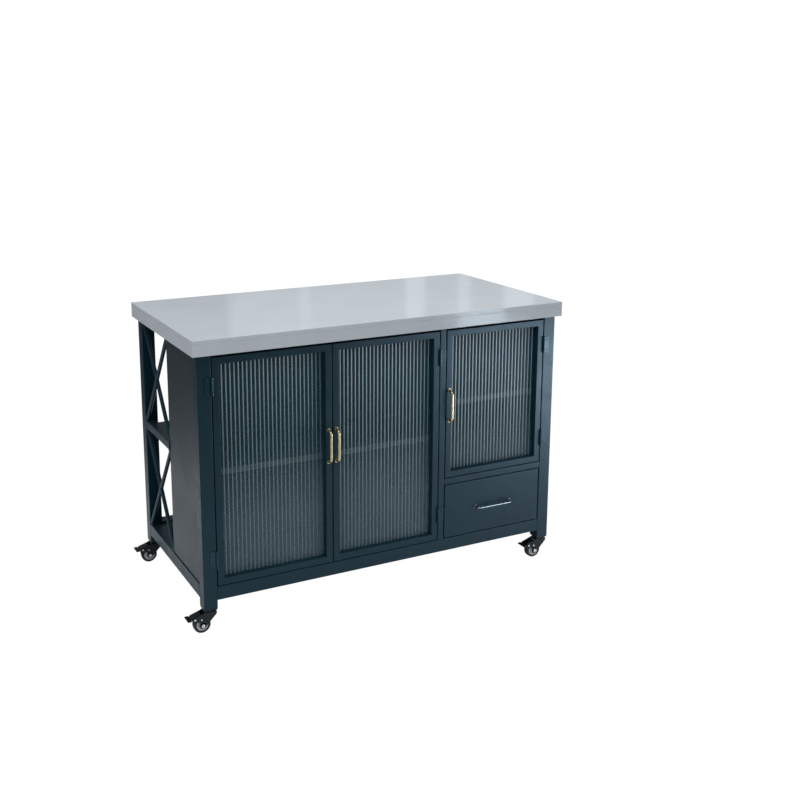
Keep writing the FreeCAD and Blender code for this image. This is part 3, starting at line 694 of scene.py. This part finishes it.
def bow_handle(middle, along, feet, grip, radius):
    """Bar handle: a straight grip, a bend at each end, and arms splayed to round feet."""
    reach, bend = 0.017, 0.008
    arm = Vector((0, reach, (feet - grip) / 2))
    turn_by = atan2(arm.y, arm.z)
    run = bend * tan(turn_by / 2)
    straight = grip / 2 - run
    part = bmesh.new()
    bmesh.ops.create_circle(part, segments=24, radius=radius)
    bmesh.ops.translate(part, vec=(0, -reach, 0), verts=part.verts)
    made = bmesh.ops.extrude_edge_only(part, edges=part.edges[:])["geom"]
    bmesh.ops.translate(part, vec=(0, 0, straight), verts=points_in(made))
    lip = [e for e in made if isinstance(e, bmesh.types.BMEdge)
           and all(v.co.z > straight - 1e-6 for v in e.verts)]
    ends = bmesh.ops.spin(part, geom=lip, cent=(0, bend - reach, straight), axis=(1, 0, 0),
                          angle=-turn_by, steps=10)["geom_last"]
    lip = [e for e in ends if isinstance(e, bmesh.types.BMEdge)]
    made = bmesh.ops.extrude_edge_only(part, edges=lip)["geom"]
    bmesh.ops.translate(part, vec=arm.normalized() * (arm.length - run + 0.0008),
                        verts=points_in(made))
    last = [e for e in made if isinstance(e, bmesh.types.BMEdge) and e.is_boundary]
    bmesh.ops.edgeloop_fill(part, edges=last)
    foot = bmesh.new()
    bmesh.ops.create_cone(foot, cap_ends=True, segments=28, radius1=radius + 0.0015,
                          radius2=radius + 0.0015, depth=0.0015)
    soften(foot, sharp_edges(foot, 60.0), 0.0006, 3)
    bmesh.ops.rotate(foot, cent=(0, 0, 0), matrix=Matrix.Rotation(radians(90), 3, "X"),
                     verts=foot.verts)
    bmesh.ops.translate(foot, vec=(0, -0.00075, feet / 2), verts=foot.verts)
    join(part, foot)
    copy = bmesh.ops.duplicate(part, geom=part.verts[:] + part.edges[:] + part.faces[:])["geom"]
    bmesh.ops.scale(part, vec=(1, 1, -1), verts=points_in(copy))
    bmesh.ops.remove_doubles(part, verts=part.verts, dist=0.00001)
    bmesh.ops.recalc_face_normals(part, faces=part.faces)
    lay = Matrix.Rotation(radians(90), 4, "Y") if along == "x" else Matrix.Identity(4)
    bmesh.ops.transform(part, matrix=Matrix.Translation(middle) @ lay, verts=part.verts)
    return part


door_spans = {"left_door": (-0.5425, -0.1875), "middle_door": (-0.1845, 0.1675),
              "right_door": (0.1930, 0.5425)}
face, door_back = -0.285, -0.265
for name, (x0, x1) in door_spans.items():
    pin_x, side, low = hung[name]
    bm = bmesh.new()
    ring(bm, (x0, x1), (face, door_back), (low, door_high), 0.020, 0.0013)
    piece(bm, name + "_tube_frame", frame_paint, name, "frame_paint", name + "_frame")

    pane_x, pane_z = (x0 + 0.012, x1 - 0.012), (low + 0.012, door_high - 0.012)
    bm = reeded_pane(pane_x, pane_z, door_back, door_back + 0.005)
    piece(bm, name + "_reeded_pane", reeded_glass, name, "fluted_glass", name + "_glass")

    bm = bmesh.new()
    rim_x, rim_z = (pane_x[0] - 0.003, pane_x[1] + 0.003), (pane_z[0] - 0.003, pane_z[1] + 0.003)
    ring(bm, rim_x, (door_back, door_back + 0.005), rim_z, 0.002, 0.0003)
    ring(bm, rim_x, (door_back + 0.005, door_back + 0.0065), rim_z, 0.009, 0.0004)
    for x in (rim_x[0] + 0.006, rim_x[1] - 0.006):
        for up in (0.10, 0.36, 0.64, 0.90):
            z = rim_z[0] + (rim_z[1] - rim_z[0]) * up
            domed_screw(bm, (x, door_back + 0.0065, z), 0.0022, 0.0008, (0, 1, 0))
    piece(bm, name + "_glass_strips", frame_paint, name, "hinge_paint", name + "_glass_beads")

    free_edge = x1 if side > 0 else x0
    pull_z = 0.5635 if name == "right_door" else 0.4965
    bm = bow_handle((free_edge - side * 0.011, face, pull_z), "z", 0.096, 0.083, 0.00425)
    piece(bm, name + "_bow_handle", brass, name, "satin_brass", name + "_handle")

    bm = bmesh.new()
    for z in hinge_lows(low):
        near, far = pin_x, pin_x + side * 0.0015
        bar(bm, (min(near, far), face + 0.001, z), (max(near, far), face + 0.019, z + leaf_high),
            0.0003)
        bar(bm, (min(near, far), pin_y, z + 0.0093), (max(near, far), face + 0.001,
            z + leaf_high - 0.0093), 0.0003)
        knuckle(bm, pin_x, z + 0.0093, z + leaf_high - 0.0093)
    piece(bm, name + "_edge_leaves", lit_hinge_coat, name, "hinge_paint", name + "_hinge_leaves")


# DRAWER ---------------------------------------------------------------------------------------
# A plywood box on two side runners.  Its painted front board is screwed on from inside and
# carries a dark plated bow handle.

bm = bmesh.new()
bar(bm, (0.193, -0.285, 0.137), (0.542, -0.267, 0.309), 0.0015)
piece(bm, "drawer_front_board", frame_paint, "drawer", "painted_board", "drawer_front")

bm = bmesh.new()
for x in (0.205, 0.518):
    bar(bm, (x, -0.267, 0.150), (x + 0.012, -0.037, 0.285), 0.0010)
bar(bm, (0.217, -0.049, 0.150), (0.518, -0.037, 0.285), 0.0010)
bar(bm, (0.217, -0.267, 0.158), (0.518, -0.049, 0.164), 0.0005)
piece(bm, "drawer_ply_box", plywood, "drawer", "plywood", "drawer_box")

gunmetal, shader = start_finish("gunmetal_plate", metallic=1.0)
drawn = grain(gunmetal, 0.0006, detail=3.0, stretch=(30, 1, 1))
connect(gunmetal, tint(gunmetal, grain(gunmetal, 0.010), (0.15, 0.17, 0.19), (0.22, 0.25, 0.28)),
        shader.inputs["Base Color"])
connect(gunmetal, spread(gunmetal, drawn, 0.14, 0.24), shader.inputs["Roughness"])
relief(gunmetal, shader, drawn, 0.00002, 0.4)
bm = bow_handle((0.3675, face, 0.221), "x", 0.128, 0.118, 0.0035)
piece(bm, "drawer_bow_handle", gunmetal, "drawer", "gunmetal", "drawer_handle")


def off_wall(wall, inward, near, far):
    """Two distances from a cabinet wall as X values, the lower first."""
    return sorted((wall + inward * near, wall + inward * far))


fixed, moving = bmesh.new(), bmesh.new()
for wall, inward in ((0.189, 1), (0.546, -1)):
    for (a, b), (z0, z1) in (((0, 0.0015), (0.200, 0.235)), ((0, 0.012), (0.200, 0.2015)),
                             ((0, 0.012), (0.2335, 0.235))):
        x0, x1 = off_wall(wall, inward, a, b)
        bar(fixed, (x0, -0.244, z0), (x1, -0.020, z1), 0.0003)
    for (a, b), (z0, z1) in (((0.0145, 0.016), (0.205, 0.230)), ((0.003, 0.0145), (0.208, 0.227))):
        x0, x1 = off_wall(wall, inward, a, b)
        bar(moving, (x0, -0.267, z0), (x1, -0.037, z1), 0.0005)
piece(fixed, "runner_channels", zinc, "frame", "zinc_steel", "fixed_runners")
piece(moving, "runner_tongues", zinc, "drawer", "zinc_steel", "drawer_runners")

bm = bmesh.new()
bar(bm, (0.546, -inner_y, 0.195), (panel_in, back_front, 0.250), 0.0010)
piece(bm, "runner_packer", plywood, "frame", "plywood", "runner_batten")


# CASTERS --------------------------------------------------------------------------------------
# Under each leg a black swivel caster: a plate and ball cup with a kingpin, a pressed fork that
# trails, a black tyre on a pale hub, and a ribbed foot pedal that presses a shoe on the tyre.

black_coat, shader = start_finish("black_coat", specular=0.35, sheen=(0.80, 0.93, 1.0))
connect(black_coat, tint(black_coat, grain(black_coat, 0.010), (0.004, 0.006, 0.007),
                         (0.008, 0.011, 0.012)), shader.inputs["Base Color"])
connect(black_coat, spread(black_coat, grain(black_coat, 0.004), 0.18, 0.30),
        shader.inputs["Roughness"])
relief(black_coat, shader, grain(black_coat, 0.0009, detail=1.0), 0.00003, 0.5)

tyre_rubber, shader = start_finish("tyre_rubber", specular=0.4)
connect(tyre_rubber, tint(tyre_rubber, grain(tyre_rubber, 0.006, detail=5.0),
                          (0.009, 0.009, 0.010), (0.020, 0.020, 0.021)),
        shader.inputs["Base Color"])
connect(tyre_rubber, spread(tyre_rubber, grain(tyre_rubber, 0.002), 0.42, 0.62),
        shader.inputs["Roughness"])
relief(tyre_rubber, shader, grain(tyre_rubber, 0.0007, detail=3.0), 0.00006, 0.6)

hub_grey, shader = start_finish("hub_grey", specular=0.5)
connect(hub_grey, tint(hub_grey, grain(hub_grey, 0.007, detail=4.0), (0.50, 0.51, 0.51),
                       (0.66, 0.67, 0.67)), shader.inputs["Base Color"])
connect(hub_grey, spread(hub_grey, grain(hub_grey, 0.001), 0.34, 0.48),
        shader.inputs["Roughness"])
relief(hub_grey, shader, grain(hub_grey, 0.0006, detail=1.0), 0.00003, 0.4)


def turned(bm, profile, centre, axis, steps=48):
    """A round part: an open profile of (radius, distance along the axis), spun full circle."""
    part = bmesh.new()
    centre = Vector(centre)
    if axis == "y":
        points = [part.verts.new(centre + Vector((r, d, 0))) for r, d in profile]
        direction = (0, 1, 0)
    else:
        points = [part.verts.new(centre + Vector((r, 0, d))) for r, d in profile]
        direction = (0, 0, 1)
    edges = [part.edges.new(pair) for pair in zip(points, points[1:])]
    bmesh.ops.spin(part, geom=points + edges, cent=centre, axis=direction, angle=2 * pi,
                   steps=steps, use_merge=True)
    bmesh.ops.remove_doubles(part, verts=part.verts, dist=0.00002)
    join(bm, part)


def pressed_plate(bm, outline, y0, y1, round_by, edge):
    """Flat pressed plate: an outline in X and Z with rounded corners, given its thickness."""
    part = bmesh.new()
    part.faces.new([part.verts.new((x, y0, z)) for x, z in outline])
    bmesh.ops.bevel(part, geom=part.verts[:], offset=round_by, offset_type="OFFSET", segments=3,
                    profile=0.5, affect="VERTICES", material=-1, clamp_overlap=True)
    walls = bmesh.ops.extrude_face_region(part, geom=part.faces[:])["geom"]
    bmesh.ops.translate(part, vec=(0, y1 - y0, 0), verts=points_in(walls))
    soften(part, sharp_edges(part, 60.0), edge, 2)
    join(bm, part)


def stand_at(bm, place):
    """Moves a caster's mesh from the origin to under its leg."""
    bmesh.ops.translate(bm, vec=(place[0], place[1], 0), verts=bm.verts)


legs = {"front_left": (-0.565, -0.265), "front_right": (0.565, -0.265),
        "rear_left": (-0.565, 0.265), "rear_right": (0.565, 0.265)}

bm = bmesh.new()
for x, y in legs.values():
    bar(bm, (x - 0.019, y - 0.019, 0.067), (x + 0.019, y + 0.019, 0.070), 0.0008)
    turned(bm, [(0.0, 0.067), (0.0135, 0.067), (0.0150, 0.0655), (0.0150, 0.0640),
                (0.0143, 0.0633), (0.0, 0.0633)], (x, y, 0), "z")
    turned(bm, [(0.0, 0.0633), (0.005, 0.0633), (0.005, 0.0597), (0.0070, 0.0597),
                (0.0075, 0.0590), (0.0070, 0.0560), (0.0, 0.0560)], (x, y, 0), "z")
piece(bm, "caster_top_plates", black_coat, "frame", "caster_steel", "caster_mounts")

cheek = [(0.018, 0.063), (0.018, 0.054), (-0.0172, 0.0186), (-0.0288, 0.0176),
         (-0.0325, 0.026), (-0.031, 0.036), (-0.042, 0.038), (-0.048, 0.030), (-0.055, 0.037),
         (-0.054, 0.050), (-0.022, 0.060), (-0.018, 0.063)]
axle_x, axle_z = -0.0236, 0.025
for corner, place in legs.items():
    yoke = "caster_" + corner
    bm = bmesh.new()
    for y0 in (-0.0155, 0.0130):
        pressed_plate(bm, cheek, y0, y0 + 0.0025, 0.0022, 0.0005)
        turned(bm, [(0.0042, y0), (0.0090, y0), (0.0095, y0 + 0.0006), (0.0095, y0 + 0.0019),
                    (0.0090, y0 + 0.0025), (0.0042, y0 + 0.0025)], (axle_x, 0, axle_z), "y")
    bar(bm, (-0.018, -0.0155, 0.060), (0.018, 0.0155, 0.063), 0.0010)
    turned(bm, [(0.0051, 0.0600), (0.0110, 0.0600), (0.0125, 0.0590), (0.0125, 0.0586),
                (0.0085, 0.0586), (0.0051, 0.0592)], (0, 0, 0), "z", 40)
    stand_at(bm, place)
    piece(bm, corner + "_fork", black_coat, yoke, "caster_steel", yoke + "_fork")

    bm = bmesh.new()
    rod(bm, (axle_x, -0.0155, axle_z), (axle_x, 0.0155, axle_z), 0.0040, 32)
    for side in (-1, 1):
        part = bmesh.new()
        bmesh.ops.create_cone(part, cap_ends=True, segments=6, radius1=0.0060, radius2=0.0060,
                              depth=0.0030)
        soften(part, sharp_edges(part, 40.0), 0.0005, 2)
        bmesh.ops.rotate(part, cent=(0, 0, 0), matrix=Matrix.Rotation(radians(90), 3, "X"),
                         verts=part.verts)
        bmesh.ops.translate(part, vec=(axle_x, side * 0.0170, axle_z), verts=part.verts)
        join(bm, part)
        for x, z, radius in ((-0.046, 0.046, 0.0032), (-0.027, 0.043, 0.0026)):
            domed_screw(bm, (x, side * 0.0155, z), radius, 0.0012, (0, side, 0))
    rod(bm, (-0.046, -0.0155, 0.046), (-0.046, 0.0155, 0.046), 0.0020, 20)
    stand_at(bm, place)
    piece(bm, corner + "_axle_and_rivets", zinc, yoke, "zinc_steel", yoke + "_fork")

    bm = bmesh.new()
    turned(bm, [(0.0170, -0.0090), (0.0175, -0.0098), (0.0220, -0.0100), (0.0236, -0.0092),
                (0.0246, -0.0078), (0.0250, -0.0055), (0.0250, 0.0055), (0.0246, 0.0078),
                (0.0236, 0.0092), (0.0220, 0.0100), (0.0175, 0.0098), (0.0170, 0.0090),
                (0.0170, -0.0090)], (axle_x, 0, axle_z), "y", 64)
    stand_at(bm, place)
    piece(bm, corner + "_tyre", tyre_rubber, "wheel_" + corner, "tyre_rubber", yoke + "_tyre")

    bm = bmesh.new()
    turned(bm, [(0.0041, -0.0120), (0.0066, -0.0120), (0.0070, -0.0115), (0.0072, -0.0056),
                (0.0076, -0.0050), (0.0124, -0.0050), (0.0129, -0.0055), (0.0131, -0.0086),
                (0.0135, -0.0090), (0.0170, -0.0090), (0.0170, 0.0090), (0.0135, 0.0090),
                (0.0131, 0.0086), (0.0129, 0.0055), (0.0124, 0.0050), (0.0076, 0.0050),
                (0.0072, 0.0056), (0.0070, 0.0115), (0.0066, 0.0120), (0.0041, 0.0120),
                (0.0041, -0.0120)], (axle_x, 0, axle_z), "y", 56)
    for i in range(5):
        around = Matrix.Rotation(2 * pi * i / 5, 3, "Y")
        for y0 in (-0.0075, 0.0050):
            part = bmesh.new()
            bar(part, (0.0070, y0, -0.0010), (0.0132, y0 + 0.0025, 0.0010), 0.0004)
            bmesh.ops.rotate(part, cent=(0, 0, 0), matrix=around, verts=part.verts)
            bmesh.ops.translate(part, vec=(axle_x, 0, axle_z), verts=part.verts)
            join(bm, part)
    stand_at(bm, place)
    piece(bm, corner + "_hub", hub_grey, "wheel_" + corner, "grey_plastic", yoke + "_hub")

    bm = bmesh.new()
    arm = [(-0.027, 0.056), (-0.028, 0.059), (-0.048, 0.0535), (-0.057, 0.0485),
           (-0.057, 0.0445), (-0.046, 0.049)]
    pressed_plate(bm, arm, -0.012, 0.012, 0.0008, 0.0006)
    bar(bm, (-0.068, -0.018, 0.0445), (-0.056, 0.018, 0.0480), 0.0012)
    for x in (-0.0664, -0.0640, -0.0616, -0.0592):
        bar(bm, (x, -0.0165, 0.0478), (x + 0.0011, 0.0165, 0.0486), 0.0003)
    bar(bm, (-0.049, -0.008, 0.0398), (-0.045, 0.008, 0.0440), 0.0008)
    turned(bm, [(0.00205, -0.0125), (0.0041, -0.0125), (0.0045, -0.0121), (0.0045, 0.0121),
                (0.0041, 0.0125), (0.00205, 0.0125), (0.00205, -0.0125)], (-0.046, 0, 0.046),
           "y", 32)
    stand_at(bm, place)
    piece(bm, corner + "_pedal", black_coat, "brake_" + corner, "caster_steel",
          yoke + "_pedal")
